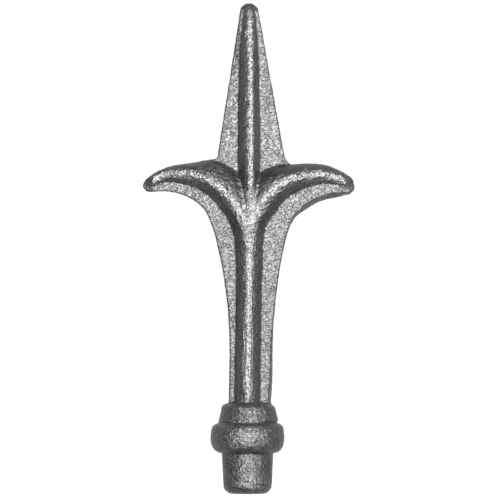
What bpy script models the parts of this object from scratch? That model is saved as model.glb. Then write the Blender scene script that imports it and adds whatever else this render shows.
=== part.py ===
"""Iron spear point for the top of a fence bar, forged as one piece.

A round spigot and a turned collar carry a flat web. The web widens into two side
leaves and narrows into a spike. A round-backed rib runs up the stem and the spike,
and one rib branches off it along each leaf. Front and back are alike, but the web's
right edge was left wider on the back, beside the stem's foot and under the leaf.

Metres, +Z up, front towards -Y. The origin is the centre of the spigot's flat foot.
"""

import math

import bmesh
import bpy

MM = 0.001

HEIGHT = 157.0 * MM
BOW = 0.55 * MM                # the forging bends this far to the right between collar and fork

# Spigot and collar, turned about Z
SPIGOT_RADIUS = 8.2 * MM
SPIGOT_TAPER = 0.4 * MM        # taken off the radius between the collar and the foot
SPIGOT_LENGTH = 13.1 * MM
FOOT_ROUNDING = 3.5 * MM
RING_RADIUS = 11.8 * MM
RING_HEIGHT = 9.6 * MM
BELL_RADIUS = 9.6 * MM
BELL_TAPER = 0.9 * MM
BELL_HEIGHT = 4.2 * MM
SHOULDER_RISE = 2.6 * MM
FULLNESS = 0.7                 # under 1 makes the ring's upper half and the shoulder squarer than round
ROUND_STEPS = 40

# Web
WEB_THICKNESS = 4.0 * MM
WEB_DRAFT = 0.25 * MM          # how much the sides lean in from the middle to the faces
WEB_CORNER = 0.5 * MM          # size of the bevel along the web's edges
BACK_SPREAD = 2.4 * MM         # how much wider the back is beside the stem's foot
BACK_DROP = 1.8 * MM           # how much lower the back is under the right leaf
WAIST_ABOVE_COLLAR = 14.0 * MM

# Spike
NOSE_RADIUS = 3.1 * MM
SPIKE_THINNING = 43.0 * MM     # length over which web and rib thin towards the nose
NOSE_WEB_THICKNESS = 2.8 * MM
CROTCH_FILLET = 2.0 * MM

# Rib up the stem and the spike: half-width at the middle of the web, depth front to back
RIB_HALF_WIDTH = 4.45 * MM
RIB_DEPTH = 12.4 * MM
SPIKE_RIB_HALF_WIDTH = 4.1 * MM
SPIKE_RIB_DEPTH = 8.8 * MM
NOSE_RIB_HALF_WIDTH = 2.4 * MM
NOSE_RIB_DEPTH = 5.0 * MM
RIB_STEPS = 24

# Leaves
LEAF_TIP_LENGTH = 2.3 * MM     # length of the round tip, and its drop below the outermost point
CREST_TOP_SHARE = 0.605        # where along its reach the leaf's crest is highest
CREST_END_INSET = 0.8 * MM     # how far inside this point the crest ends

# Ribs on the leaves: half-widths above and below the crest, depth front to back
FORK_HEIGHT = 80.0 * MM        # where the crests of the leaves part from the stem's
LEAF_ROOT_HALF_WIDTH = 4.25 * MM
LEAF_ROOT_DEPTH = 12.1 * MM
LEAF_TIP_ABOVE = 2.0 * MM
LEAF_TIP_BELOW = 1.7 * MM
LEAF_TIP_DEPTH = 5.4 * MM
LEAF_RIB_STEPS = 22

RING_BASE = SPIGOT_LENGTH
BELL_BASE = RING_BASE + RING_HEIGHT
SHOULDER_BASE = BELL_BASE + BELL_HEIGHT
COLLAR_TOP = SHOULDER_BASE + SHOULDER_RISE
SPIKE_SHOULDER = HEIGHT - SPIKE_THINNING
UPRIGHT = math.pi / 2
IRON_COLOUR = (0.30, 0.30, 0.31, 1.0)


class Side:
    """One side of the web and its leaf, with x counted away from the axis."""

    def __init__(self, sign, foot, waist, armpit, reach, tip_height, crest_rise, flank,
                 crotch_height, crotch_heading, spike_angle):
        self.sign = sign
        self.foot = foot                      # half-width of the web where it leaves the collar
        self.waist = waist                    # and a little above it
        self.armpit = armpit                  # x, z and heading where the stem turns into the leaf
        self.reach = reach
        self.tip_height = tip_height
        self.flank = flank                    # widest reach of the rib's flank, beside the spike
        self.spike_angle = spike_angle
        crotch_x = spike_half_width(self, crotch_height) + CROTCH_FILLET
        self.crotch = (crotch_x, crotch_height, crotch_heading)
        self.underside_end = (reach - LEAF_TIP_LENGTH, tip_height - LEAF_TIP_LENGTH, math.radians(-6))
        self.crest_top = (reach * CREST_TOP_SHARE, tip_height + crest_rise, 0.0)
        self.crest_end = (reach - CREST_END_INSET, tip_height, math.radians(-50))


def spike_half_width(side, height):
    """Half-width of the straight-sided spike, whose sides touch the round nose."""
    touch_height = HEIGHT - NOSE_RADIUS * (1.0 - math.sin(side.spike_angle))
    touch_width = NOSE_RADIUS * math.cos(side.spike_angle)
    return touch_width + (touch_height - height) * math.tan(side.spike_angle)


LEFT = Side(
    sign=-1,
    foot=6.25 * MM,
    waist=5.9 * MM,
    armpit=(14.6 * MM, 91.1 * MM, math.radians(46)),
    reach=34.0 * MM,
    tip_height=98.9 * MM,
    crest_rise=4.2 * MM,
    flank=8.4 * MM,
    crotch_height=106.6 * MM,
    crotch_heading=math.radians(172),
    spike_angle=math.radians(8.9),
)
RIGHT = Side(
    sign=1,
    foot=5.6 * MM,
    waist=6.4 * MM,
    armpit=(15.2 * MM, 90.4 * MM, math.radians(41)),
    reach=33.8 * MM,
    tip_height=98.6 * MM,
    crest_rise=4.6 * MM,
    flank=7.5 * MM,
    crotch_height=105.2 * MM,
    crotch_heading=math.radians(182),
    spike_angle=math.radians(10.2),
)


def blend(start, end, share):
    """Goes smoothly from start to end as share goes from 0 to 1."""
    share = min(max(share, 0.0), 1.0)
    return start + (end - start) * share * share * (3.0 - 2.0 * share)


def bezier(points, share):
    """Point on a cubic curve given by its four control points."""
    rest = 1.0 - share
    weights = (rest ** 3, 3.0 * rest * rest * share, 3.0 * rest * share * share, share ** 3)
    return tuple(sum(w * p[axis] for w, p in zip(weights, points)) for axis in (0, 1))


def sweep(start, end, reach_out, reach_in, steps):
    """Curve from one (x, z, heading) to the next, without its last point."""
    (x0, z0, heading0), (x1, z1, heading1) = start, end
    control = (
        (x0, z0),
        (x0 + reach_out * math.cos(heading0), z0 + reach_out * math.sin(heading0)),
        (x1 - reach_in * math.cos(heading1), z1 - reach_in * math.sin(heading1)),
        (x1, z1),
    )
    return [bezier(control, step / steps) for step in range(steps)]


def spike_heights(steps, nose_steps):
    """Heights from just above the spike's shoulder to the nose's top, closer together on the nose."""
    centre = HEIGHT - NOSE_RADIUS
    heights = [SPIKE_SHOULDER + (centre - SPIKE_SHOULDER) * step / steps for step in range(1, steps + 1)]
    closing = math.radians(85)
    return heights + [centre + NOSE_RADIUS * math.sin(closing * step / nose_steps)
                      for step in range(1, nose_steps + 1)]


def tapered(full, nose, height):
    """A width or depth of the spike: full at its shoulder, less at the nose, and rounded off there."""
    centre = HEIGHT - NOSE_RADIUS
    share = min(max((height - SPIKE_SHOULDER) / (centre - SPIKE_SHOULDER), 0.0), 1.0)
    past = max(height - centre, 0.0) / NOSE_RADIUS
    return (full + (nose - full) * share * share) * math.sqrt(1.0 - past * past)


def side_outline(side):
    """Outline of one side of the web from inside the collar up to the nose, x away from the axis."""
    foot = (side.foot, COLLAR_TOP, UPRIGHT)
    waist = (side.waist, COLLAR_TOP + WAIST_ABOVE_COLLAR, UPRIGHT)
    tip = (side.reach, side.tip_height, UPRIGHT)
    stem_length = side.armpit[1] - waist[1]
    leaf_length = side.underside_end[0] - side.armpit[0]
    blade_height = side.crotch[1] + CROTCH_FILLET
    blade = (spike_half_width(side, blade_height), blade_height, UPRIGHT + side.spike_angle)
    points = [(side.foot, BELL_BASE)]
    points += sweep(foot, waist, WAIST_ABOVE_COLLAR / 3, WAIST_ABOVE_COLLAR / 2, 5)
    points += sweep(waist, side.armpit, stem_length * 0.45, stem_length * 0.1, 16)
    points += sweep(side.armpit, side.underside_end, leaf_length * 0.4, leaf_length * 0.42, 10)
    points += sweep(side.underside_end, tip, LEAF_TIP_LENGTH * 0.55, LEAF_TIP_LENGTH * 0.55, 4)
    points += sweep(tip, side.crotch, LEAF_TIP_LENGTH * 1.2, leaf_length * 0.6, 12)
    points += sweep(side.crotch, blade, CROTCH_FILLET * 0.6, CROTCH_FILLET * 0.6, 4)
    points.append(blade[:2])
    steps = 8
    for step in range(steps):
        angle = side.spike_angle + (UPRIGHT - side.spike_angle) * step / steps
        points.append((NOSE_RADIUS * math.cos(angle), HEIGHT - NOSE_RADIUS * (1.0 - math.sin(angle))))
    return points


def web_outline():
    """Closed outline of the web's front, counter-clockwise seen from the front."""
    right = side_outline(RIGHT)
    left = [(-x, z) for x, z in side_outline(LEFT)]
    return right + [(0.0, HEIGHT)] + left[::-1]


def inset(outline, distance):
    """The outline moved inwards by a distance, corner by corner."""
    moved = []
    count = len(outline)
    for index, (x, z) in enumerate(outline):
        x0, z0 = outline[index - 1]
        x1, z1 = outline[(index + 1) % count]
        length = math.hypot(x1 - x0, z1 - z0)
        moved.append((x - distance * (z1 - z0) / length, z + distance * (x1 - x0) / length))
    return moved


def widened(outline, share):
    """The outline with a share of what the back has more on the right."""
    moved = []
    for x, z in outline:
        below_leaf = x > 0 and z < RIGHT.tip_height
        beside = 1.0 - (z - COLLAR_TOP) / (RIGHT.tip_height - COLLAR_TOP)
        if below_leaf:
            under = blend(0.0, 1.0, x / RIGHT.armpit[0] - 0.4)
            rounding = min(1.0, (RIGHT.tip_height - z) / LEAF_TIP_LENGTH)
            x += BACK_SPREAD * share * min(1.0, beside)
            z -= BACK_DROP * share * under * rounding
        moved.append((x, z))
    return moved


def loft(name, rings):
    """Closed mesh through rings of equal point counts, with a face across each end."""
    mesh = bmesh.new()
    loops = [[mesh.verts.new(point) for point in ring] for ring in rings]
    for lower, upper in zip(loops, loops[1:]):
        for index in range(len(lower)):
            follower = (index + 1) % len(lower)
            mesh.faces.new((lower[index], lower[follower], upper[follower], upper[index]))
    mesh.faces.new(loops[0])
    mesh.faces.new(loops[-1])
    bmesh.ops.recalc_face_normals(mesh, faces=mesh.faces)
    data = bpy.data.meshes.new(name)
    mesh.to_mesh(data)
    mesh.free()
    solid = bpy.data.objects.new(name, data)
    bpy.context.scene.collection.objects.link(solid)
    return solid


def bow(solid):
    """Bends a solid with the forging, which leaves the collar upright."""
    for vertex in solid.data.vertices:
        vertex.co.x += blend(0.0, BOW, (vertex.co.z - COLLAR_TOP) / (FORK_HEIGHT - COLLAR_TOP))
    return solid


def oval_ring(centre, up, above, below, half_depth, steps, above_power=2.0):
    """Oval across a crest: its width lies along up, its depth along Y.

    A power of 2 gives an ellipse. A lower one gives a narrower crest and a straighter flank.
    """
    ring = []
    for step in range(steps):
        angle = 2.0 * math.pi * (step + 0.5) / steps
        outward, sideways = math.cos(angle), math.sin(angle)
        width, power = (above, above_power) if outward > 0 else (below, 2.0)
        reach = width * math.copysign(abs(outward) ** (2.0 / power), outward)
        depth = half_depth * math.copysign(abs(sideways) ** (2.0 / power), sideways)
        ring.append((centre[0] + up[0] * reach, depth, centre[1] + up[1] * reach))
    return ring


def web_plate():
    """The flat web with drafted, bevelled sides, wider on the back at the right."""
    outline = web_outline()
    half = WEB_THICKNESS / 2
    layers = (
        (half, WEB_DRAFT + WEB_CORNER),
        (half - WEB_CORNER, WEB_DRAFT),
        (0.0, 0.0),
        (WEB_CORNER - half, WEB_DRAFT),
        (-half, WEB_DRAFT + WEB_CORNER),
    )
    rings = []
    for depth, edge in layers:
        share = 0.5 - depth / WEB_THICKNESS
        rings.append([(x, -depth, z) for x, z in widened(inset(outline, edge), share)])
    return bow(loft("web", rings))


def web_side_view():
    """Block wider than the leaves, whose side view thins the web towards the nose."""
    profile = [(WEB_THICKNESS / 2, 0.0), (WEB_THICKNESS / 2, SPIKE_SHOULDER)]
    for height in spike_heights(6, 6):
        profile.append((tapered(WEB_THICKNESS, NOSE_WEB_THICKNESS, height) / 2, height))
    clearance = 0.01 * MM
    outline = [(y + clearance, z) for y, z in profile] + [(-y - clearance, z) for y, z in reversed(profile)]
    width = 2.0 * max(LEFT.reach, RIGHT.reach)
    return loft("web_side_view", [[(x, y, z) for y, z in outline] for x in (-width, width)])


def spine():
    """The rib up the stem and the spike, from inside the collar to the nose."""
    rings = []
    for height in (BELL_BASE, COLLAR_TOP, (COLLAR_TOP + FORK_HEIGHT) / 2, FORK_HEIGHT):
        rings.append((height, RIB_HALF_WIDTH, RIB_DEPTH / 2))
    steps = 8
    for step in range(1, steps + 1):
        share = step / steps
        height = FORK_HEIGHT + (SPIKE_SHOULDER - FORK_HEIGHT) * share
        width = blend(RIB_HALF_WIDTH, SPIKE_RIB_HALF_WIDTH, share)
        rings.append((height, width, blend(RIB_DEPTH, SPIKE_RIB_DEPTH, share * 1.4 - 0.4) / 2))
    for height in spike_heights(6, 6):
        width = tapered(SPIKE_RIB_HALF_WIDTH, NOSE_RIB_HALF_WIDTH, height)
        rings.append((height, width, tapered(SPIKE_RIB_DEPTH, NOSE_RIB_DEPTH, height) / 2))
    return bow(loft("spine", [oval_ring((0.0, z), (1.0, 0.0), w, w, d, RIB_STEPS) for z, w, d in rings]))


def leaf_rib(side):
    """The rib along one leaf, from inside the stem's rib out to the leaf's round tip."""
    branch = RIB_HALF_WIDTH * 0.1
    root = (branch, FORK_HEIGHT + branch * side.sign, UPRIGHT)
    rise = side.crest_top[1] - FORK_HEIGHT
    fall = side.crest_end[0] - side.crest_top[0]
    crest = sweep(root, side.crest_top, rise * 0.44, rise * 0.52, 12)
    crest += sweep(side.crest_top, side.crest_end, fall * 0.36, fall * 0.28, 14)
    crest.append(side.crest_end[:2])
    rings = []
    for index in range(len(crest) - 1):
        (x0, z0), (x1, z1) = crest[max(index - 1, 0)], crest[index + 1]
        run = math.hypot(x1 - x0, z1 - z0)
        up = ((z0 - z1) / run * side.sign, (x1 - x0) / run)
        x, z = crest[index]
        closing = max(0.0, 1.0 - math.hypot(x - crest[-1][0], z - crest[-1][1]) / LEAF_TIP_ABOVE)
        rounding = math.sqrt(1.0 - closing ** 2)
        out = x / side.crest_end[0]
        swell = blend(LEAF_ROOT_HALF_WIDTH, side.flank, out / 0.2)
        above = blend(swell, LEAF_TIP_ABOVE, (out - 0.18) / 0.54) * rounding
        below = blend(LEAF_ROOT_HALF_WIDTH, LEAF_TIP_BELOW, (out - 0.42) / 0.58) * rounding
        depth = blend(LEAF_ROOT_DEPTH, LEAF_TIP_DEPTH, (out - 0.24) / 0.76) * rounding
        power = 2.0 * min(1.0, LEAF_ROOT_HALF_WIDTH / above) ** 0.55
        rings.append(oval_ring((x * side.sign, z), up, above, below, depth / 2, LEAF_RIB_STEPS, power))
    name = "left_leaf_rib" if side.sign < 0 else "right_leaf_rib"
    return bow(loft(name, rings))


def collar_profile():
    """Radius and height of the turned foot, from the flat foot up to the stem."""
    foot_radius = SPIGOT_RADIUS - SPIGOT_TAPER
    flat_radius = foot_radius - FOOT_ROUNDING
    profile = []
    steps = 5
    for step in range(steps + 1):
        angle = UPRIGHT * step / steps
        profile.append((flat_radius + FOOT_ROUNDING * math.sin(angle), FOOT_ROUNDING * (1.0 - math.cos(angle))))
    profile.append((SPIGOT_RADIUS, RING_BASE))
    swell = RING_RADIUS - SPIGOT_RADIUS
    middle = RING_BASE + RING_HEIGHT / 2
    steps = 16
    for step in range(1, steps):
        angle = math.pi * (step / steps - 0.5)
        fullness = 1.0 if angle < 0 else FULLNESS
        radius = SPIGOT_RADIUS + swell * math.cos(angle) ** fullness
        height = middle + RING_HEIGHT / 2 * math.copysign(abs(math.sin(angle)) ** fullness, angle)
        if height < middle or radius > BELL_RADIUS:
            profile.append((radius, height))
    profile.append((BELL_RADIUS, BELL_BASE))
    top_radius = BELL_RADIUS - BELL_TAPER
    profile.append((top_radius, SHOULDER_BASE))
    steps = 5
    for step in range(1, steps):
        angle = UPRIGHT * step / steps
        rise, run = math.sin(angle) ** FULLNESS, math.cos(angle) ** FULLNESS
        profile.append((top_radius * run, SHOULDER_BASE + SHOULDER_RISE * rise))
    return profile


def collar():
    """Spigot, ring and bell, turned about the axis."""
    turns = [2.0 * math.pi * step / ROUND_STEPS for step in range(ROUND_STEPS)]
    rings = []
    for radius, height in collar_profile():
        rings.append([(radius * math.cos(turn), radius * math.sin(turn), height) for turn in turns])
    return loft("collar", rings)


def iron():
    material = bpy.data.materials.new("forged_iron")
    material.use_nodes = True
    shader = material.node_tree.nodes["Principled BSDF"]
    shader.inputs["Base Color"].default_value = IRON_COLOUR
    shader.inputs["Metallic"].default_value = 0.9
    shader.inputs["Roughness"].default_value = 0.5
    return material


def combine(name, body, cuts):
    """One object from a body and its Boolean cuts, each an operation and another solid."""
    for operation, other in cuts:
        boolean = body.modifiers.new(other.name, "BOOLEAN")
        boolean.operation = operation
        boolean.solver = "EXACT"
        boolean.object = other
    graph = bpy.context.evaluated_depsgraph_get()
    data = bpy.data.meshes.new_from_object(body.evaluated_get(graph))
    for solid in [body] + [other for operation, other in cuts]:
        bpy.data.objects.remove(solid)
    data.shade_smooth()
    data.set_sharp_from_angle(angle=math.radians(35))
    data.materials.clear()
    data.materials.append(iron())
    result = bpy.data.objects.new(name, data)
    bpy.context.scene.collection.objects.link(result)
    return result


def main():
    for existing in list(bpy.data.objects):
        bpy.data.objects.remove(existing)
    combine("spear_point", web_plate(), (
        ("INTERSECT", web_side_view()),
        ("UNION", spine()),
        ("UNION", leaf_rib(LEFT)),
        ("UNION", leaf_rib(RIGHT)),
        ("UNION", collar()),
    ))


main()
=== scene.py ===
# %% [markdown]
# # A fence spear point in forged iron
# This lesson dresses a CAD model of an iron fence finial: a round spigot and a turned
# collar, a stem with a rib on it, two side leaves and a spike. The CAD solid already has
# the right form. Here the same form is made again with many more faces, so that its
# corners can be soft and its skin can be rough, as hammered iron is.

# %% Open the frame
import math

import bmesh
import bpy
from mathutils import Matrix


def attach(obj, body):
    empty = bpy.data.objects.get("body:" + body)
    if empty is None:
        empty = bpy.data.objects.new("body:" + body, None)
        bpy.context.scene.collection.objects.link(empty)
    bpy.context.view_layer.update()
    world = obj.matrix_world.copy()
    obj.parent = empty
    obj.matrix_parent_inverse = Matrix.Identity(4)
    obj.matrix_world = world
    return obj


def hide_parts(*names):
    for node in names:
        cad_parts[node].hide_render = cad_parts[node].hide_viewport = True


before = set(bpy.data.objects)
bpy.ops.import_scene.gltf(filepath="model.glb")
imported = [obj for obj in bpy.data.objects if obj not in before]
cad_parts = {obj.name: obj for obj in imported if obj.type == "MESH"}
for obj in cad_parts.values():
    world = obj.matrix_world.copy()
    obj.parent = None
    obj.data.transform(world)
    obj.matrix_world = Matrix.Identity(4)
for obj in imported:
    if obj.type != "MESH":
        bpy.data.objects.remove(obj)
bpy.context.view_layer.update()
MM = 0.001

# %% [markdown]
# ## The sizes
# A smith would write these on the drawing before the dies are cut. They are the real
# sizes, in metres, and the whole shape follows from them. Keeping them together means
# that the forging can be corrected in one place.

# %% Sizes of the forging
HEIGHT = 157.0 * MM
BOW = 0.55 * MM                # the forging bends this far to the right

SPIGOT_RADIUS, SPIGOT_TAPER, SPIGOT_LENGTH, FOOT_ROUNDING = 8.2 * MM, 0.4 * MM, 13.1 * MM, 3.0 * MM
RING_RADIUS, RING_HEIGHT, RING_FULL_BELOW, RING_FULL_ABOVE = 11.8 * MM, 9.6 * MM, 0.86, 0.65
BELL_RADIUS, BELL_TAPER, BELL_HEIGHT = 9.6 * MM, 0.9 * MM, 4.2 * MM
BELL_COVE, BELL_SHIFT = 0.6 * MM, 0.3 * MM
SHOULDER_RISE, SHOULDER_FULL = 2.6 * MM, 0.75
BELL_BASE = SPIGOT_LENGTH + RING_HEIGHT
SHOULDER_BASE = BELL_BASE + BELL_HEIGHT
COLLAR_TOP = SHOULDER_BASE + SHOULDER_RISE

WEB_THICKNESS, WEB_DRAFT, WEB_CORNER = 4.0 * MM, 0.15 * MM, 0.25 * MM
BACK_SPREAD, BACK_SPREAD_LENGTH = 1.1 * MM, 35.0 * MM
BACK_DROP, BACK_FADE = 1.7 * MM, 6.5 * MM

NOSE_RADIUS, SPIKE_WEB_THICKNESS, NOSE_WEB_THICKNESS = 3.0 * MM, 3.4 * MM, 2.7 * MM
SPIKE_SHOULDER = HEIGHT - 43.0 * MM
NOSE_LEAN_FROM, NOSE_LEAN_TO = HEIGHT - 32.0 * MM, HEIGHT - 16.0 * MM
NOSE_LEAN_X, NOSE_LEAN_WIDTH, NOSE_LEAN = -2.7 * MM, 2.0 * MM, 0.5

RIB_HALF_WIDTH, RIB_DEPTH = 4.35 * MM, 12.4 * MM
FORK_HEIGHT, FORK_HALF_WIDTH, FORK_FLARE = 80.0 * MM, 4.7 * MM, 13.0 * MM
SPIKE_RIB_HALF_WIDTH, SPIKE_RIB_DEPTH = 3.7 * MM, 11.4 * MM
NOSE_RIB_HALF_WIDTH, NOSE_RIB_DEPTH = 2.4 * MM, 5.0 * MM
SPIKE_CREST_PLACE = 0.6 * MM   # the crest on the spike stands this far right of the axis
SPIKE_CREST_SHIFT = 0.7 * MM   # and this far right of its rib's own middle
RIB_POWER = 1.78               # 2 is an ellipse; less gives a narrower crest, straighter flanks

LEAF_TIP_LENGTH, CREST_TURN, CREST_END_INSET = 2.3 * MM, 7.3 * MM, 0.8 * MM
UNDERSIDE_END_ANGLE, CREST_END_ANGLE = math.radians(-6), math.radians(-43)
TIP_SLOPE_LENGTH, TIP_SLOPE = 3.1 * MM, 0.85
LEAF_ROOT_HALF_WIDTH, LEAF_ROOT_DEPTH, LEAF_DEPTH = 4.4 * MM, 12.1 * MM, 13.8 * MM
LEAF_TIP_DEPTH = 5.4 * MM
PAD_SECTIONS, PAD_DEPTH, PAD_END_DEPTH = 31, 12.1 * MM, 9.4 * MM
PAD_SPARE, PAD_POWER = 0.5 * MM, 3.0    # how far the pad passes the crests, and its flat section
UPRIGHT = math.pi / 2


def spike_half_width(angle, height):
    """Half-width of the straight-sided spike, whose sides touch the round nose."""
    touch_height = HEIGHT - NOSE_RADIUS * (1.0 - math.sin(angle))
    return NOSE_RADIUS * math.cos(angle) + (touch_height - height) * math.tan(angle)


class Side:
    """One side of the web and its leaf, in mm and degrees, with x counted away from the axis.

    The widths of the leaf's upper flank are at its root, its shoulder and its tip, and it leaves
    the first at a share of the leaf's reach, its hold. The widths of the lower flank are at its
    root and its tip. Hollow 1 gives a straight upper edge, and more gives a hollow one. The crest
    has its rise over the tip, the strength of its swing up, the share of the reach at which it is
    highest, the strength of its turn down to the tip, and its power there.
    """

    def __init__(self, sign, foot, waist, stem_swing, armpit, reach, tip_height, crest, upper, hold,
                 hollow, lower, crotch, spike_angle):
        self.sign, self.foot, self.waist, self.stem_swing = sign, foot * MM, waist[0] * MM, stem_swing
        self.waist_above_collar, self.fillet = waist[1] * MM, crotch[2] * MM
        self.armpit = (armpit[0] * MM, armpit[1] * MM, math.radians(armpit[2]))
        self.reach, self.tip_height = reach * MM, tip_height * MM
        self.hold, self.hollow = hold, hollow
        self.upper_root, self.upper_shoulder, self.upper_tip = (width * MM for width in upper)
        self.lower_root, self.lower_tip = (width * MM for width in lower)
        crest_rise, self.crest_swing, crest_share, self.crest_fall, self.tip_power = crest
        self.spike_angle = math.radians(spike_angle)
        crotch_height = crotch[0] * MM
        crotch_x = spike_half_width(self.spike_angle, crotch_height) + self.fillet
        self.crotch = (crotch_x, crotch_height, math.radians(crotch[1]))
        self.underside_end = (self.reach - LEAF_TIP_LENGTH, self.tip_height - LEAF_TIP_LENGTH,
                              UNDERSIDE_END_ANGLE)
        self.crest_top = (self.reach * crest_share, self.tip_height + crest_rise * MM, 0.0)
        self.crest_end = (self.reach - CREST_END_INSET, self.tip_height, CREST_END_ANGLE)


LEFT = Side(sign=-1, foot=6.0, waist=(5.9, 14), stem_swing=(0.45, 0.1), armpit=(14.6, 91.1, 46),
            reach=34.0, tip_height=98.8, crest=(4.05, 0.42, 0.7, 0.45, 2.5), upper=(8.4, 5.4, 1.25),
            hold=0.26, hollow=2.0, lower=(5.0, 2.4), crotch=(107.0, 168, 1.3), spike_angle=8.8)
RIGHT = Side(sign=1, foot=6.8, waist=(7.4, 12), stem_swing=(0.1, 0.18), armpit=(15.6, 90.2, 41),
             reach=33.8, tip_height=98.3, crest=(4.1, 0.56, 0.68, 0.25, 2.1), upper=(7.5, 4.2, 1.9),
             hold=0.18, hollow=1.1, lower=(5.9, 2.1), crotch=(104.9, 182, 3.6), spike_angle=10.2)
print(f"collar top at {COLLAR_TOP / MM:.1f} mm, leaves reach {LEFT.reach / MM} and {RIGHT.reach / MM} mm")

# %% [markdown]
# ## Drawing with headings
# The edges of a die are long easy curves. Each one here runs from a point with a heading
# to the next point with its own heading, which is how a draughtsman swings a spline. A
# Bezier curve in Blender could be drawn by hand instead, but numbers stay with the sizes.

# %% Curves and shells


def blend(start, end, share):
    """Goes smoothly from start to end as share goes from 0 to 1."""
    share = min(max(share, 0.0), 1.0)
    return start + (end - start) * share * share * (3.0 - 2.0 * share)


def sweep(start, end, reach_out, reach_in, steps):
    """Curve from one (x, z, heading) to the next, without its last point."""
    (x0, z0, heading0), (x1, z1, heading1) = start, end
    control = (
        (x0, z0),
        (x0 + reach_out * math.cos(heading0), z0 + reach_out * math.sin(heading0)),
        (x1 - reach_in * math.cos(heading1), z1 - reach_in * math.sin(heading1)),
        (x1, z1),
    )
    points = []
    for step in range(steps):
        share = step / steps
        rest = 1.0 - share
        weights = (rest ** 3, 3.0 * rest * rest * share, 3.0 * rest * share * share, share ** 3)
        points.append(tuple(sum(w * p[axis] for w, p in zip(weights, control)) for axis in (0, 1)))
    return points


def tapered(full, nose, height):
    """A width or depth of the spike: full at its shoulder, less at the nose, and rounded off there."""
    centre = HEIGHT - NOSE_RADIUS
    share = min(max((height - SPIKE_SHOULDER) / (centre - SPIKE_SHOULDER), 0.0), 1.0)
    past = min(max(height - centre, 0.0) / NOSE_RADIUS, 1.0)
    return (full + (nose - full) * share * share) * math.sqrt(1.0 - past * past)


def add_shell(mesh, rings):
    """Adds a closed shell through rings of equal point counts."""
    loops = [[mesh.verts.new(point) for point in ring] for ring in rings]
    faces = [mesh.faces.new(loops[0]), mesh.faces.new(loops[-1])]
    for lower, upper in zip(loops, loops[1:]):
        for index in range(len(lower)):
            after = (index + 1) % len(lower)
            faces.append(mesh.faces.new((lower[index], lower[after], upper[after], upper[index])))
    bmesh.ops.recalc_face_normals(mesh, faces=faces)


forging = bmesh.new()

# %% [markdown]
# ## The web
# The web is the flat plate that the hammer leaves between the dies. Its edge leans a
# little, so that it comes out of the die, and its corners are broken. It could be an
# extruded curve, but a shell through five copies of the outline also takes the lean, the
# bevel and the wider back that this forging has on its right.

# %% The web's outline
SHORT, LONG, UNDERSIDE_STEPS, NOSE_STEPS = 12, 50, 40, 24
UNDERSIDE_SWING, LEAF_TOP_SWING = (0.4, 0.42), 0.6
TIP_SWING, TIP_TOP_SWING, FILLET_SWING = 0.55, 1.2, 0.6
BACK_DROP_FROM = 0.25          # the back starts to hang lower at this share of the armpit's distance


def side_outline(side):
    """Outline of one side of the web from inside the collar to the nose, x away from the axis."""
    foot = (side.foot, COLLAR_TOP, UPRIGHT)
    waist = (side.waist, COLLAR_TOP + side.waist_above_collar, UPRIGHT)
    tip = (side.reach, side.tip_height, UPRIGHT)
    stem_length = side.armpit[1] - waist[1]
    leaf_length = side.underside_end[0] - side.armpit[0]
    blade_height = side.crotch[1] + side.fillet
    blade_width = spike_half_width(side.spike_angle, blade_height)
    blade = (blade_width, blade_height, UPRIGHT + side.spike_angle)
    points = [(side.foot, BELL_BASE)]
    points += sweep(foot, waist, side.waist_above_collar / 3, side.waist_above_collar / 2, SHORT)
    points += sweep(waist, side.armpit, *(stem_length * share for share in side.stem_swing), LONG)
    points += sweep(side.armpit, side.underside_end,
                    *(leaf_length * share for share in UNDERSIDE_SWING), UNDERSIDE_STEPS)
    points += sweep(side.underside_end, tip, LEAF_TIP_LENGTH * TIP_SWING, LEAF_TIP_LENGTH * TIP_SWING, SHORT)
    points += sweep(tip, side.crotch, LEAF_TIP_LENGTH * TIP_TOP_SWING, leaf_length * LEAF_TOP_SWING, LONG)
    points += sweep(side.crotch, blade, side.fillet * FILLET_SWING, side.fillet * FILLET_SWING, SHORT)
    points.append(blade[:2])
    for step in range(NOSE_STEPS):
        angle = side.spike_angle + (UPRIGHT - side.spike_angle) * step / NOSE_STEPS
        points.append((NOSE_RADIUS * math.cos(angle), HEIGHT - NOSE_RADIUS * (1.0 - math.sin(angle))))
    return points


def web_layer(outline, edge, share):
    """The outline moved in by edge, with a share of what the back has more on the right."""
    layer = []
    for index, (x, z) in enumerate(outline):
        (x0, z0), (x1, z1) = outline[index - 1], outline[(index + 1) % len(outline)]
        length = math.hypot(x1 - x0, z1 - z0)
        x, z = x - edge * (z1 - z0) / length, z + edge * (x1 - x0) / length
        if x > 0 and z < RIGHT.tip_height:
            under = blend(0.0, 1.0, x / RIGHT.armpit[0] - BACK_DROP_FROM)
            fading = blend(0.0, 1.0, (RIGHT.reach - x) / BACK_FADE)
            x += blend(BACK_SPREAD, 0.0, (z - COLLAR_TOP) / BACK_SPREAD_LENGTH) * share
            z -= BACK_DROP * share * under * fading
        layer.append((x, z))
    return layer


outline = side_outline(RIGHT) + [(0.0, HEIGHT)] + [(-x, z) for x, z in side_outline(LEFT)][::-1]
half = WEB_THICKNESS / 2
web = bmesh.new()
layers = []
for depth, edge in ((half, WEB_DRAFT + WEB_CORNER), (half - WEB_CORNER, WEB_DRAFT), (0.0, 0.0),
                    (WEB_CORNER - half, WEB_DRAFT), (-half, WEB_DRAFT + WEB_CORNER)):
    share = 0.5 - depth / WEB_THICKNESS
    layers.append([(x, -depth, z) for x, z in web_layer(outline, edge, share)])
add_shell(web, layers)
print(f"web outline: {len(outline)} points")

# %% [markdown]
# The spike is thinner at its nose, and there its left edge is thinner still. The flat faces
# of the web are cut into level strips, and each strip's depth then follows the taper. A
# Boolean with a wedge would also do it, but cutting and moving keeps the faces simple.

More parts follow.
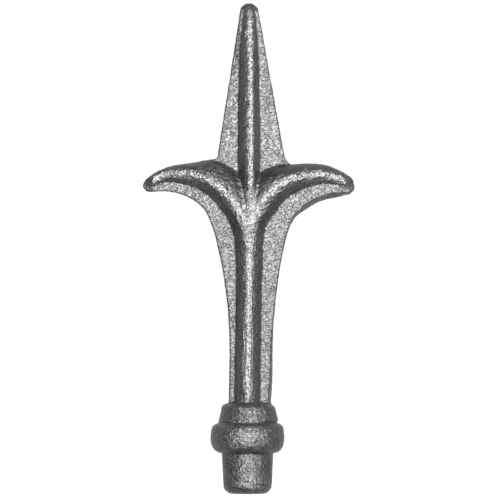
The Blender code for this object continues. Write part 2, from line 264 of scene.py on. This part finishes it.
# %% Thin the web towards the nose
STRIPS, CROWDING, TOP_STRIP = 40, 1.6, 0.999    # the strips crowd towards the nose, and end just under it
for step in range(STRIPS + 1):
    height = FORK_HEIGHT + (HEIGHT - FORK_HEIGHT) * (1.0 - (1.0 - step / STRIPS) ** CROWDING) * TOP_STRIP
    everything = web.verts[:] + web.edges[:] + web.faces[:]
    bmesh.ops.bisect_plane(web, geom=everything, plane_co=(0, 0, height), plane_no=(0, 0, 1))
everything = web.verts[:] + web.edges[:] + web.faces[:]
bmesh.ops.bisect_plane(web, geom=everything, plane_co=(NOSE_LEAN_X, 0, 0), plane_no=(1, 0, 0))
for vert in web.verts:
    thickness = tapered(SPIKE_WEB_THICKNESS, NOSE_WEB_THICKNESS, vert.co.z)
    if vert.co.z < SPIKE_SHOULDER:
        share = (vert.co.z - FORK_HEIGHT) / (SPIKE_SHOULDER - FORK_HEIGHT)
        thickness = blend(WEB_THICKNESS, SPIKE_WEB_THICKNESS, share)
    lean = blend(0.0, NOSE_LEAN, (vert.co.z - NOSE_LEAN_FROM) / (NOSE_LEAN_TO - NOSE_LEAN_FROM))
    beyond = min(max((NOSE_LEAN_X - vert.co.x) / NOSE_LEAN_WIDTH, 0.0), 1.0)
    vert.co.y *= thickness / WEB_THICKNESS * (1.0 - lean * beyond)
web_mesh = bpy.data.meshes.new("web")
web.to_mesh(web_mesh)
forging.from_mesh(web_mesh)
print(f"web: {len(web.faces)} faces")
web.free()

# %% [markdown]
# ## The ribs
# A round-backed rib runs up the stem and the spike, and one branches off it along each
# leaf. On the real piece they are grooves in the die that the hot iron fills. A bevelled
# curve would give one section all the way, while a shell through ovals lets the rib change
# width and depth as it goes.

# %% The oval section
RIB_STEPS = 72


def oval(centre, up, above, below, half_depth, above_power, below_power):
    """Oval across a crest, with its own half-width and power on each side."""
    ring = []
    for step in range(RIB_STEPS):
        angle = 2.0 * math.pi * (step + 0.5) / RIB_STEPS
        outward, sideways = math.cos(angle), math.sin(angle)
        width, power = (above, above_power) if outward > 0 else (below, below_power)
        reach = width * math.copysign(abs(outward) ** (2.0 / power), outward)
        depth = half_depth * math.copysign(abs(sideways) ** (2.0 / power), sideways)
        ring.append((centre[0] + up[0] * reach, depth, centre[1] + up[1] * reach))
    return ring


# %% The upright rib
FLARE_STEPS, FORK_STEPS, SPIKE_STEPS, ROUND_STEPS = 12, 30, 24, 18
LAST_ANGLE = math.radians(87)  # the rib's end stops just short of a point
SLIMMING, LEANING = 1.7, 1.5   # above the fork the rib slims and leans faster than it rises
DEPTH_RATE, DEPTH_HOLD = 1.4, 0.4


def spine_ring(height, width, depth, lean):
    """Section of the upright rib. Lean is 0 on the stem and 1 on the spike, whose crest is off centre."""
    place, shift = SPIKE_CREST_PLACE * lean, SPIKE_CREST_SHIFT * lean
    return oval((place, height), (1.0, 0.0), width - shift, width + shift, depth / 2, RIB_POWER, RIB_POWER)


def spine_rings():
    """Sections of the rib from inside the collar to the nose."""
    rings = [spine_ring(height, RIB_HALF_WIDTH, RIB_DEPTH, 0.0) for height in (BELL_BASE, COLLAR_TOP)]
    for step in range(FLARE_STEPS + 1):
        share = step / FLARE_STEPS
        width = blend(RIB_HALF_WIDTH, FORK_HALF_WIDTH, share)
        rings.append(spine_ring(FORK_HEIGHT - FORK_FLARE * (1.0 - share), width, RIB_DEPTH, 0.0))
    for step in range(1, FORK_STEPS + 1):
        share = step / FORK_STEPS
        height = FORK_HEIGHT + (SPIKE_SHOULDER - FORK_HEIGHT) * share
        width = blend(FORK_HALF_WIDTH, SPIKE_RIB_HALF_WIDTH, share * SLIMMING)
        depth = blend(RIB_DEPTH, SPIKE_RIB_DEPTH, share * DEPTH_RATE - DEPTH_HOLD)
        rings.append(spine_ring(height, width, depth, blend(0.0, 1.0, share * LEANING)))
    centre = HEIGHT - NOSE_RADIUS
    heights = [SPIKE_SHOULDER + (centre - SPIKE_SHOULDER) * step / SPIKE_STEPS
               for step in range(1, SPIKE_STEPS + 1)]
    heights += [centre + NOSE_RADIUS * math.sin(LAST_ANGLE * step / ROUND_STEPS)
                for step in range(1, ROUND_STEPS + 1)]
    for height in heights:
        width = tapered(SPIKE_RIB_HALF_WIDTH, NOSE_RIB_HALF_WIDTH, height)
        depth = tapered(SPIKE_RIB_DEPTH, NOSE_RIB_DEPTH, height)
        rings.append(spine_ring(height, width, depth, width / SPIKE_RIB_HALF_WIDTH))
    return rings


# %% [markdown]
# The three crests part at the fork, as a trunk does into branches. Each leaf's rib starts
# inside the stem's rib, swings out and falls to the tip, and its two flanks have their own
# widths. A small flat pad fills the fork, because the hot iron can't reach into a sharp
# corner there. It could be sculpted, but as a fourth shell it keeps to the crests.

# %% The pad and the leaves' ribs
RISE_STEPS, FALL_STEPS, BRANCH_SHARE, LAST_TURN, PAD_FROM = 60, 50, 0.1, 0.35, 2
# These are shares of the leaf's reach, where its section starts to change or how long that takes.
UPPER_FROM, UPPER_GROWTH, SHOULDER_GROWTH, TAPER_LENGTH = 0.03, 0.18, 0.32, 0.58
LOWER_GROWTH, LOWER_TAPER_FROM, DEPTH_GROWTH, DEPTH_FALL_FROM = 0.1, 0.2, 0.22, 0.3
POWER_FROM, POWER_GROWTH = 0.4, 0.4


def leaf_crest(side):
    """Crest of one leaf from the stem's crest to the tip, x away from the axis."""
    branch = RIB_HALF_WIDTH * BRANCH_SHARE
    root = (branch, FORK_HEIGHT + branch * side.sign, UPRIGHT)
    rise = side.crest_top[1] - FORK_HEIGHT
    fall = side.crest_end[0] - side.crest_top[0]
    crest = sweep(root, side.crest_top, rise * side.crest_swing, side.crest_top[0] - CREST_TURN,
                  RISE_STEPS)
    crest += sweep(side.crest_top, side.crest_end, fall * side.crest_fall, fall * LAST_TURN, FALL_STEPS)
    return crest + [side.crest_end[:2]]


def pad_rings():
    """Sections of the flat pad that fills the fork between the two crests."""
    rings = []
    for (left, low), (right, high) in list(zip(leaf_crest(LEFT), leaf_crest(RIGHT)))[PAD_FROM:PAD_SECTIONS]:
        share = len(rings) / (PAD_SECTIONS - PAD_FROM)
        depth = blend(PAD_DEPTH, PAD_END_DEPTH, share * 2.0 - 1.0)
        spare = blend(0.0, PAD_SPARE, share * 2.0)
        power = blend(RIB_POWER, PAD_POWER, share * 2.0)
        rings.append(oval((0.0, (low + high) / 2), (1.0, 0.0), right + spare, left + spare, depth / 2,
                          power, power))
    return rings


def leaf_rings(side):
    """Sections of the rib along one leaf, from inside the stem's rib to the round tip."""
    crest = leaf_crest(side)
    rings = []
    for index in range(len(crest) - 1):
        (x0, z0), (x1, z1) = crest[max(index - 1, 0)], crest[index + 1]
        run = math.hypot(x1 - x0, z1 - z0)
        up = ((z0 - z1) / run * side.sign, (x1 - x0) / run)
        x, z = crest[index]
        closing = max(0.0, 1.0 - math.hypot(x - crest[-1][0], z - crest[-1][1]) / side.upper_tip)
        rounding = math.sqrt(1.0 - closing ** 2)
        out = x / side.crest_end[0]
        above = blend(LEAF_ROOT_HALF_WIDTH, side.upper_root, (out - UPPER_FROM) / UPPER_GROWTH)
        above = blend(above, side.upper_shoulder, (out - side.hold) / SHOULDER_GROWTH)
        left_over = min(1.0, (1.0 - out) / TAPER_LENGTH) ** side.hollow
        above = (above - (side.upper_shoulder - side.upper_tip) * (1.0 - left_over)) * rounding
        below = blend(LEAF_ROOT_HALF_WIDTH, side.lower_root, out / LOWER_GROWTH)
        taper = max(0.0, out - LOWER_TAPER_FROM) / (1.0 - LOWER_TAPER_FROM)
        below = (below + (side.lower_tip - side.lower_root) * taper) * rounding
        depth = blend(LEAF_ROOT_DEPTH, LEAF_DEPTH, out / DEPTH_GROWTH)
        depth = blend(depth, LEAF_TIP_DEPTH, (out - DEPTH_FALL_FROM) / (1.0 - DEPTH_FALL_FROM)) * rounding
        power = blend(RIB_POWER, side.tip_power, (out - POWER_FROM) / POWER_GROWTH)
        above_power = power * min(1.0, LEAF_ROOT_HALF_WIDTH / above) ** 0.5
        rings.append(oval((x * side.sign, z), up, above, below, depth / 2, above_power, power))
    return rings


for rings in (spine_rings(), leaf_rings(LEFT), leaf_rings(RIGHT), pad_rings()):
    add_shell(forging, rings)
    print(f"rib through {len(rings)} sections")

# %% [markdown]
# ## Plain words for nodes
# Two small helpers keep the node trees readable. A Wire is a socket that can be added,
# multiplied and so on as a number is, and Tree.node makes any other node from its type,
# its settings and what goes into its sockets.

# %% Wire and Tree


class Wire:
    """A socket that takes part in sums; each operator adds a Math node."""

    def __init__(self, tree, socket):
        self.tree, self.socket = tree, socket

    def math(self, operation, first, second=0.0):
        return self.tree.node("ShaderNodeMath", {"operation": operation}, {0: first, 1: second})

    def __add__(self, other):
        return self.math("ADD", self, other)

    def __sub__(self, other):
        return self.math("SUBTRACT", self, other)

    def __rsub__(self, other):
        return self.math("SUBTRACT", other, self)

    def __mul__(self, other):
        return self.math("MULTIPLY", self, other)

    def __truediv__(self, other):
        return self.math("DIVIDE", self, other)

    def __rtruediv__(self, other):
        return self.math("DIVIDE", other, self)

    def __pow__(self, other):
        return self.math("POWER", self, other)

    def __rpow__(self, other):
        return self.math("POWER", other, self)

    def __abs__(self):
        return self.math("ABSOLUTE", self)

    __radd__ = __add__
    __rmul__ = __mul__

    def ramp(self, low, high, to_low=0.0, to_high=1.0):
        """Goes smoothly from to_low to to_high as the value goes from low to high."""
        settings = {"interpolation_type": "SMOOTHSTEP"}
        sockets = {"Value": self, "From Min": low, "From Max": high, "To Min": to_low, "To Max": to_high}
        return self.tree.node("ShaderNodeMapRange", settings, sockets)


class Tree:
    """A node tree with one way to add a node."""

    def __init__(self, nodes_of):
        self.tree = nodes_of
        self.nodes, self.links = nodes_of.nodes, nodes_of.links

    def node(self, kind, settings=None, sockets=None, output=0):
        node = self.nodes.new(kind)
        for name, value in (settings or {}).items():
            setattr(node, name, value)
        for name, value in (sockets or {}).items():
            self.plug(value, node.inputs[name])
        return Wire(self, node.outputs[output]) if node.outputs else node

    def plug(self, value, socket):
        """Links a Wire into a socket, or sets the socket's own value."""
        if isinstance(value, Wire):
            self.links.new(value.socket, socket)
        else:
            socket.default_value = value


def shape_tree(name, inputs):
    """A Geometry Nodes tree with a Geometry input and output and named inputs with their values."""
    group = bpy.data.node_groups.new(name, "GeometryNodeTree")
    group.interface.new_socket("Geometry", in_out="OUTPUT", socket_type="NodeSocketGeometry")
    group.interface.new_socket("Geometry", in_out="INPUT", socket_type="NodeSocketGeometry")
    for label, kind in inputs:
        group.interface.new_socket(label, in_out="INPUT", socket_type=kind)
    tree = Tree(group)
    source = group.nodes.new("NodeGroupInput")
    return tree, {socket.name: Wire(tree, socket) for socket in source.outputs if socket.name}


def close_tree(tree, geometry, material):
    """Ends a tree in Realize Instances and Set Material."""
    whole = tree.node("GeometryNodeRealizeInstances", None, {"Geometry": geometry})
    finished = tree.node("GeometryNodeSetMaterial", None, {"Geometry": whole, "Material": material})
    tree.plug(finished, tree.nodes.new("NodeGroupOutput").inputs["Geometry"])


def run_tree(name, mesh, tree, values):
    """Runs a tree on a mesh and returns the plain mesh that comes out."""
    holder = bpy.data.objects.new(name, mesh)
    bpy.context.scene.collection.objects.link(holder)
    modifier = holder.modifiers.new(name, "NODES")
    modifier.node_group = tree.tree
    for item in tree.tree.interface.items_tree:
        if item.in_out == "INPUT" and item.name in values:
            modifier[item.identifier] = values[item.name]
    return plain(holder)


def plain(holder):
    """The evaluated mesh of an object, which is then removed with its modifiers."""
    graph = bpy.context.evaluated_depsgraph_get()
    result = bpy.data.meshes.new_from_object(holder.evaluated_get(graph), depsgraph=graph)
    bpy.data.objects.remove(holder)
    return result


# %% [markdown]
# ## The iron's finish
# The piece is bare grey iron straight from the dies: a dull metal with a fine sparkling
# grain of about half a millimetre on the faces and smooth dark flanks. The colour also
# holds painted light: a painted highlight that makes the crests brighter, and a painted
# shade that darkens the hollows beside the fork. A picture of rust or scale could be
# wrapped round it, but noise that reads the object's own coordinates has no seams and
# stays sharp from every side. Where the crests and hollows are comes from the mesh,
# which gets those as named attributes further down.

# %% Grainy iron
GRAIN, FLAKE, BLOTCH = 0.5 * MM, 0.45 * MM, 6.0 * MM                # sizes
GRAIN_FORCE, FLAKE_FORCE, BLOTCH_FORCE = 2.5, 1.8, 0.4              # how strongly each is mixed in
FLANK_GRAIN, CONTRAST = 0.25, 2.7
# The crest tone paints a highlight on the crests, and the hollow shade paints shade into the fork's hollows.
TONE, PAINTED_HIGHLIGHT_TONE, HOLLOW_SHADE = 0.295, 0.19, 0.4
ROUGHNESS, FLAKE_ROUGHNESS, BLOTCH_ROUGHNESS = 0.43, 0.3, 0.1
RELIEF, FLAKE_RELIEF = 0.3 * MM, 0.3


def forged_iron():
    material = bpy.data.materials.new("forged_iron_skin")
    material.use_nodes = True
    tree = Tree(material.node_tree)
    tree.nodes.clear()
    place = tree.node("ShaderNodeTexCoord", None, None, "Object")
    # Two of these attributes carry painted light: a painted highlight on the crests and a painted shade in
    # the hollows by the fork.
    painted_crest_highlight = tree.node("ShaderNodeAttribute", {"attribute_name": "painted_crest_highlight"}, None, "Fac")
    facing = tree.node("ShaderNodeAttribute", {"attribute_name": "facing"}, None, "Fac")
    painted_fork_shade = tree.node("ShaderNodeAttribute", {"attribute_name": "painted_fork_shade"}, None, "Fac")

    def noise(size, detail, roughness=0.5):
        """Noise whose blotches are about size across, from 0 to 1 with its middle at 0.5."""
        sockets = {"Vector": place, "Scale": 1.0 / size, "Detail": detail, "Roughness": roughness}
        return tree.node("ShaderNodeTexNoise", {"noise_dimensions": "3D"}, sockets)

    flakes = tree.node("ShaderNodeTexVoronoi", {"feature": "F1"},
                       {"Vector": place, "Scale": 1.0 / FLAKE}, "Color")
    flake = tree.node("ShaderNodeSeparateColor", None, {"Color": flakes})
    grain = noise(GRAIN, detail=2.0, roughness=0.6)
    blotch = noise(BLOTCH, detail=3.0)
    spread = (grain - 0.5) * GRAIN_FORCE + (flake - 0.5) * FLAKE_FORCE
    spread = spread * (facing * (1.0 - FLANK_GRAIN) + FLANK_GRAIN)
    speckle = CONTRAST ** (spread + (blotch - 0.5) * BLOTCH_FORCE)
    # The colour is made lighter on the crests, a painted highlight, and darker in the fork's hollows, a
    # painted shade.
    tone = (painted_crest_highlight * PAINTED_HIGHLIGHT_TONE + TONE) * speckle * (1.0 - painted_fork_shade * HOLLOW_SHADE)
    colour = tree.node("ShaderNodeMix", {"data_type": "RGBA"}, {
        "Factor": tone, 6: (0.0, 0.0, 0.0, 1.0), 7: (1.0, 1.0, 1.01, 1.0)}, 2)
    roughness = (flake - 0.5) * FLAKE_ROUGHNESS + (blotch - 0.5) * BLOTCH_ROUGHNESS + ROUGHNESS
    relief = flake * FLAKE_RELIEF + grain
    bump = tree.node("ShaderNodeBump", None, {"Strength": 1.0, "Distance": RELIEF, "Height": relief})
    surface = tree.node("ShaderNodeBsdfPrincipled", None, {
        "Base Color": colour, "Metallic": 0.95, "Roughness": roughness, "Normal": bump})
    tree.node("ShaderNodeOutputMaterial", None, {"Surface": surface})
    return material


iron = forged_iron()
print(f"iron: {len(iron.node_tree.nodes)} nodes")

# %% [markdown]
# ## The collar
# Spigot, ring and bell are round, because the smith swages them between two half-round
# dies. Anything that is turned about an axis follows a rule, so Geometry Nodes make it:
# the profile is one line, a grid is wrapped round it, and its rim and poles are welded.

# %% Profile of the collar
ROUNDING_STEPS, RING_STEPS = 12, 40


def collar_profile():
    """Radius and height from the middle of the flat foot up to the stem."""
    flat_radius = SPIGOT_RADIUS - SPIGOT_TAPER - FOOT_ROUNDING
    profile = [(0.0, 0.0)]
    for step in range(ROUNDING_STEPS + 1):
        angle = UPRIGHT * step / ROUNDING_STEPS
        profile.append((flat_radius + FOOT_ROUNDING * math.sin(angle),
                        FOOT_ROUNDING * (1.0 - math.cos(angle))))
    profile.append((SPIGOT_RADIUS, SPIGOT_LENGTH))
    middle = SPIGOT_LENGTH + RING_HEIGHT / 2
    for step in range(1, RING_STEPS):
        angle = math.pi * (step / RING_STEPS - 0.5)
        fullness = RING_FULL_BELOW if angle < 0 else RING_FULL_ABOVE
        radius = SPIGOT_RADIUS + (RING_RADIUS - SPIGOT_RADIUS) * math.cos(angle) ** fullness
        height = middle + RING_HEIGHT / 2 * math.copysign(abs(math.sin(angle)) ** fullness, angle)
        if height < middle or radius > BELL_RADIUS:
            profile.append((radius, height))
    profile += [(BELL_RADIUS - BELL_COVE, BELL_BASE), (BELL_RADIUS, BELL_BASE + BELL_COVE)]
    profile.append((BELL_RADIUS - BELL_TAPER, SHOULDER_BASE))
    for step in range(1, ROUNDING_STEPS + 1):
        angle = UPRIGHT * step / ROUNDING_STEPS
        rise, run = math.sin(angle) ** SHOULDER_FULL, abs(math.cos(angle)) ** SHOULDER_FULL
        profile.append(((BELL_RADIUS - BELL_TAPER) * run, SHOULDER_BASE + SHOULDER_RISE * rise))
    return profile


profile = collar_profile()
line = bpy.data.meshes.new("collar_profile")
line.from_pydata([(r, 0.0, z) for r, z in profile], [(i, i + 1) for i in range(len(profile) - 1)], [])
print(f"collar profile: {len(profile)} points")

# %% Turn it with Geometry Nodes
RINGS, TURNS, WELD = 190, 160, 0.001 * MM
lathe, given = shape_tree("lathe", (("Rings", "NodeSocketInt"), ("Turns", "NodeSocketInt"),
                                    ("Weld", "NodeSocketFloat")))
path = lathe.node("GeometryNodeMeshToCurve", None, {"Mesh": given["Geometry"]})
sheet = lathe.node("GeometryNodeMeshGrid", None, {
    "Size X": 1.0, "Size Y": 1.0, "Vertices X": given["Rings"], "Vertices Y": given["Turns"] + 1})
spot = lathe.node("GeometryNodeInputPosition")
along = lathe.node("ShaderNodeSeparateXYZ", None, {"Vector": spot}, "X") + 0.5
turn = (lathe.node("ShaderNodeSeparateXYZ", None, {"Vector": spot}, "Y") + 0.5) * (2.0 * math.pi)
on_line = lathe.node("GeometryNodeSampleCurve", {"mode": "FACTOR"},
                     {"Curves": path, "Factor": along}, "Position")
turned = lathe.node("ShaderNodeVectorRotate", {"rotation_type": "Z_AXIS"},
                    {"Vector": on_line, "Angle": turn})
wrapped = lathe.node("GeometryNodeSetPosition", None, {"Geometry": sheet, "Position": turned})
welded = lathe.node("GeometryNodeMergeByDistance", None, {"Geometry": wrapped, "Distance": given["Weld"]})
close_tree(lathe, welded, iron)
collar = run_tree("collar", line, lathe, {"Rings": RINGS, "Turns": TURNS, "Weld": WELD})
forging.from_mesh(collar)
print(f"collar: {len(collar.polygons)} faces")

# %% [markdown]
# ## One piece of iron
# The shells overlap. The forging has no joints, so they are made one skin by a voxel
# remesh, which also rounds every inner corner a little, as the dies do. A Boolean would
# keep the corners knife-sharp and its long thin faces could carry no grain.

# %% Unite the shells
VOXEL = 0.26 * MM
bmesh.ops.recalc_face_normals(forging, faces=forging.faces)
rough = bpy.data.meshes.new("forging")
forging.to_mesh(rough)
forging.free()
holder = bpy.data.objects.new("forging", rough)
bpy.context.scene.collection.objects.link(holder)
remesh = holder.modifiers.new("one_skin", "REMESH")
remesh.mode, remesh.voxel_size, remesh.adaptivity = "VOXEL", VOXEL, 0.0
ease = holder.modifiers.new("soft_corners", "SMOOTH")
ease.factor, ease.iterations = 0.5, 2
body = plain(holder)
print(f"forging: {len(body.polygons)} faces")

# %% [markdown]
# Three small traits of the real forging are easiest to give to the finished body: the
# leaf tips slope to a thin edge, the stem leans a little to the right on its way up, and
# the bell sits slightly off the ring. A lattice could bend it, but a short rule that moves
# every point keeps to the sizes.

# %% Slope the leaf tips and bend the stem
for vertex in body.vertices:
    place = vertex.co
    reach = LEFT.reach if place.x < 0 else RIGHT.reach
    tip_share = (abs(place.x) - reach + TIP_SLOPE_LENGTH) / TIP_SLOPE_LENGTH
    place.y *= 1.0 - TIP_SLOPE * min(max(tip_share, 0.0), 1.0)
    place.x += blend(0.0, BOW, (place.z - COLLAR_TOP) / (FORK_HEIGHT - COLLAR_TOP))
    off_ring = blend(0.0, BELL_SHIFT, (place.z - BELL_BASE) / MM)
    place.x += off_ring * blend(1.0, 0.0, (place.z - SHOULDER_BASE) / SHOULDER_RISE)
print(f"tips sloped over {TIP_SLOPE_LENGTH / MM:.1f} mm, stem bowed by {BOW / MM:.2f} mm")

# %% Fewer triangles
MOST_TRIANGLES = 190000
triangles = sum(len(face.vertices) - 2 for face in body.polygons)
holder = bpy.data.objects.new("forging", body)
bpy.context.scene.collection.objects.link(holder)
thin = holder.modifiers.new("fewer_triangles", "DECIMATE")
thin.ratio = min(1.0, MOST_TRIANGLES / triangles)
body = plain(holder)
print(f"forging: {triangles} triangles, thinned to {len(body.polygons)}")

# %% [markdown]
# ## The hammered skin
# Hot iron never fills a die cleanly: faces are a little lumpy and edges wander. Sculpting
# would do, but a rule covers the whole piece evenly, so Geometry Nodes push each point in
# or out along its normal by two sizes of noise. The flat foot is left alone. First the
# same tree blurs the valleys beside the fork, which the die leaves soft. The web's faces
# stand 2 mm from the middle plane and the crests 6 to 7 mm, and that tells them apart.

# %% Inputs of the skin
skin, given = shape_tree("hammered_skin", (
    ("Fork Height", "NodeSocketFloat"), ("Fork Radius", "NodeSocketFloat"), ("Fork Passes", "NodeSocketInt"),
    ("Lump Size", "NodeSocketFloat"), ("Lump Height", "NodeSocketFloat"),
    ("Grain Size", "NodeSocketFloat"), ("Grain Height", "NodeSocketFloat"), ("Allowance", "NodeSocketFloat"),
    ("Foot Margin", "NodeSocketFloat"), ("Seed", "NodeSocketFloat")))


def skin_noise(size, detail):
    """Noise from -0.5 to 0.5 over the surface, different for each seed."""
    sockets = {"W": given["Seed"], "Scale": 1.0 / size, "Detail": detail, "Roughness": 0.5}
    return skin.node("ShaderNodeTexNoise", {"noise_dimensions": "4D"}, sockets) - 0.5


# %% Soften the fork
SOFT_REACH, OFF_WEB = (0.5, 1.0), (2.2 * MM, 3.0 * MM)
spot = skin.node("GeometryNodeInputPosition")
height = skin.node("ShaderNodeSeparateXYZ", None, {"Vector": spot}, "Z")
standing = abs(skin.node("ShaderNodeSeparateXYZ", None, {"Vector": spot}, "Y"))
aside = skin.node("ShaderNodeSeparateXYZ", None, {"Vector": spot}, "X")
above_fork = height - given["Fork Height"]
from_fork = (aside * aside + above_fork * above_fork) ** 0.5 / given["Fork Radius"]
softness = from_fork.ramp(*SOFT_REACH, 1.0, 0.0) * standing.ramp(*OFF_WEB)
eased = skin.node("GeometryNodeBlurAttribute", {"data_type": "FLOAT_VECTOR"}, {
    "Value": spot, "Iterations": given["Fork Passes"], "Weight": softness})
softened = skin.node("GeometryNodeSetPosition", None, {"Geometry": given["Geometry"], "Position": eased})

# %% Lumps and grain
lift = skin_noise(given["Lump Size"], 1.0) * given["Lump Height"]
lift = lift + skin_noise(given["Grain Size"], 1.0) * given["Grain Height"] + given["Allowance"]
lift = lift * height.ramp(0.0, given["Foot Margin"])
outward = skin.node("GeometryNodeInputNormal")
push = skin.node("ShaderNodeVectorMath", {"operation": "SCALE"}, {0: outward, "Scale": lift})
moved = skin.node("GeometryNodeSetPosition", None, {"Geometry": softened, "Offset": push})

# %% [markdown]
# The finish has to know which points are on a crest, which face the front or back
# squarely, and which lie in the hollows by the fork: the crests get a painted highlight,
# the squarely facing points more grain, and the hollows a painted shade. It could be
# painted by hand, but rules for how far a point stands out and which way it faces suit
# every side. Each gives a number from 0 to 1.

# %% Painted highlight on the crests, painted shade in the hollows
CREST_STANDS, CREST_FACES, CREST_ABOVE_COLLAR = (2.25 * MM, 3.0 * MM), (0.80, 0.98), 2.0 * MM
HOLLOW_REACH, HOLLOW_FACES = (0.75, 1.1), (0.4, 0.7)
HOLLOW_STANDS, HOLLOW_UNDER = (2.2 * MM, 2.8 * MM), (4.4 * MM, 6.8 * MM)
GRAIN_FACES = (0.74, 0.98)
facing = abs(skin.node("ShaderNodeSeparateXYZ", None, {"Vector": outward}, "Y"))
# Crest tops that face the front or back squarely get a painted highlight.
painted_crest_highlight = standing.ramp(*CREST_STANDS) * facing.ramp(*CREST_FACES)
painted_crest_highlight = painted_crest_highlight * height.ramp(COLLAR_TOP, COLLAR_TOP + CREST_ABOVE_COLLAR)
# The hollows beside the fork get a painted shade: a darker colour where the flanks run down into the fork.
painted_fork_shade = from_fork.ramp(*HOLLOW_REACH, 1.0, 0.0) * standing.ramp(*HOLLOW_STANDS)
painted_fork_shade = painted_fork_shade * standing.ramp(*HOLLOW_UNDER, 1.0, 0.0) * facing.ramp(*HOLLOW_FACES)
for label, field in (("painted_crest_highlight", painted_crest_highlight), ("facing", facing.ramp(*GRAIN_FACES)), ("painted_fork_shade", painted_fork_shade)):
    moved = skin.node("GeometryNodeStoreNamedAttribute", {"data_type": "FLOAT", "domain": "POINT"}, {
        "Geometry": moved, "Name": label, "Value": field})
close_tree(skin, moved, iron)
print(f"skin: {len(skin.nodes)} nodes")

# %% Run the skin
surface = run_tree("spear_skin", body, skin, {
    "Fork Height": FORK_HEIGHT + 14.0 * MM, "Fork Radius": 13.0 * MM, "Fork Passes": 12,
    "Lump Size": 5.0 * MM, "Lump Height": 0.3 * MM, "Grain Size": 1.0 * MM, "Grain Height": 0.45 * MM,
    "Allowance": -0.02 * MM, "Foot Margin": 1.0 * MM, "Seed": 4.0})
surface.shade_smooth()
spear = bpy.data.objects.new("forged_spear_point", surface)
bpy.context.scene.collection.objects.link(spear)
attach(spear, "root")
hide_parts("spear_point")
print(f"skin: {len(surface.vertices)} points")

# %% [markdown]
# ## Floor, light and camera
# The piece was photographed against white, with soft light from beside the camera. A large
# round lamp in front gives the broad shine on all that faces it, and the white
# surroundings behind the piece light only its rims. The floor is a pale disc. A smaller
# lamp would be easier to place, but its shine on the crests would be too narrow.

# %% Floor
AIM = (0.8 * MM, 0.0, 78.0 * MM)
FLOOR_RADIUS = 0.3


def pale_floor():
    disc = bmesh.new()
    bmesh.ops.create_circle(disc, cap_ends=True, segments=96, radius=FLOOR_RADIUS)
    mesh = bpy.data.meshes.new("floor")
    disc.to_mesh(mesh)
    disc.free()
    floor = bpy.data.objects.new("floor", mesh)
    material = bpy.data.materials.new("pale_floor")
    material.use_nodes = True
    tree = Tree(material.node_tree)
    tree.nodes.clear()
    paint = tree.node("ShaderNodeBsdfPrincipled", None, {
        "Base Color": (0.9, 0.9, 0.9, 1.0), "Roughness": 0.9, "Emission Color": (1.0, 1.0, 1.0, 1.0),
        "Emission Strength": 0.8})
    tree.node("ShaderNodeOutputMaterial", None, {"Surface": paint})
    mesh.materials.append(material)
    bpy.context.scene.collection.objects.link(floor)
    floor.visible_glossy = floor.visible_diffuse = False


pale_floor()

# %% Lights
CAMERA_WHITE = 1.05            # how bright the camera itself sees the surroundings


def round_lamp(name, azimuth, elevation, distance, radius, power):
    """A round lamp that faces the piece. Azimuth 0 stands in front of it and 90 to its right."""
    data = bpy.data.lights.new(name, "AREA")
    data.shape, data.size, data.energy = "DISK", 2.0 * radius, power
    lamp = bpy.data.objects.new(name, data)
    lamp.visible_camera = False
    turn, rise = math.radians(azimuth), math.radians(elevation)
    lamp.location = (AIM[0] + distance * math.cos(rise) * math.sin(turn),
                     AIM[1] - distance * math.cos(rise) * math.cos(turn),
                     AIM[2] + distance * math.sin(rise))
    lamp.rotation_euler = (UPRIGHT - rise, 0.0, turn)
    bpy.context.scene.collection.objects.link(lamp)


def surroundings(dim, bright):
    """White for the camera, dim beside the piece and bright behind it."""
    world = bpy.data.worlds.new("white_room")
    world.use_nodes = True
    tree = Tree(world.node_tree)
    tree.nodes.clear()
    way = tree.node("ShaderNodeTexCoord", None, None, "Generated")
    behind = tree.node("ShaderNodeSeparateXYZ", None, {"Vector": way}, "Y")
    behind = behind.ramp(0.0, 0.75, dim, bright)
    seen = tree.node("ShaderNodeLightPath", None, None, "Is Camera Ray")
    strength = behind * (1.0 - seen) + seen * CAMERA_WHITE
    sky = tree.node("ShaderNodeBackground", None, {"Color": (1.0, 1.0, 1.0, 1.0), "Strength": strength})
    tree.node("ShaderNodeOutputWorld", None, {"Surface": sky})
    bpy.context.scene.world = world


round_lamp("key", azimuth=8.0, elevation=-2.0, distance=1.2, radius=0.72, power=21.5)
surroundings(dim=0.1, bright=0.65)

# %% Camera
FRAME_WIDTH, DISTANCE, SENSOR = 160.0 * MM, 3.0, 36.0
camera_data = bpy.data.cameras.new("camera")
camera_data.sensor_width = SENSOR
camera_data.lens = SENSOR * DISTANCE / FRAME_WIDTH
camera_data.clip_end = 20.0
camera = bpy.data.objects.new("camera", camera_data)
camera.location = (AIM[0], -DISTANCE, AIM[2])
camera.rotation_euler = (UPRIGHT, 0.0, 0.0)
bpy.context.scene.collection.objects.link(camera)
bpy.context.scene.camera = camera
bpy.context.scene.view_settings.view_transform = "Standard"
print(f"camera {DISTANCE} m away, lens {camera_data.lens:.0f} mm")
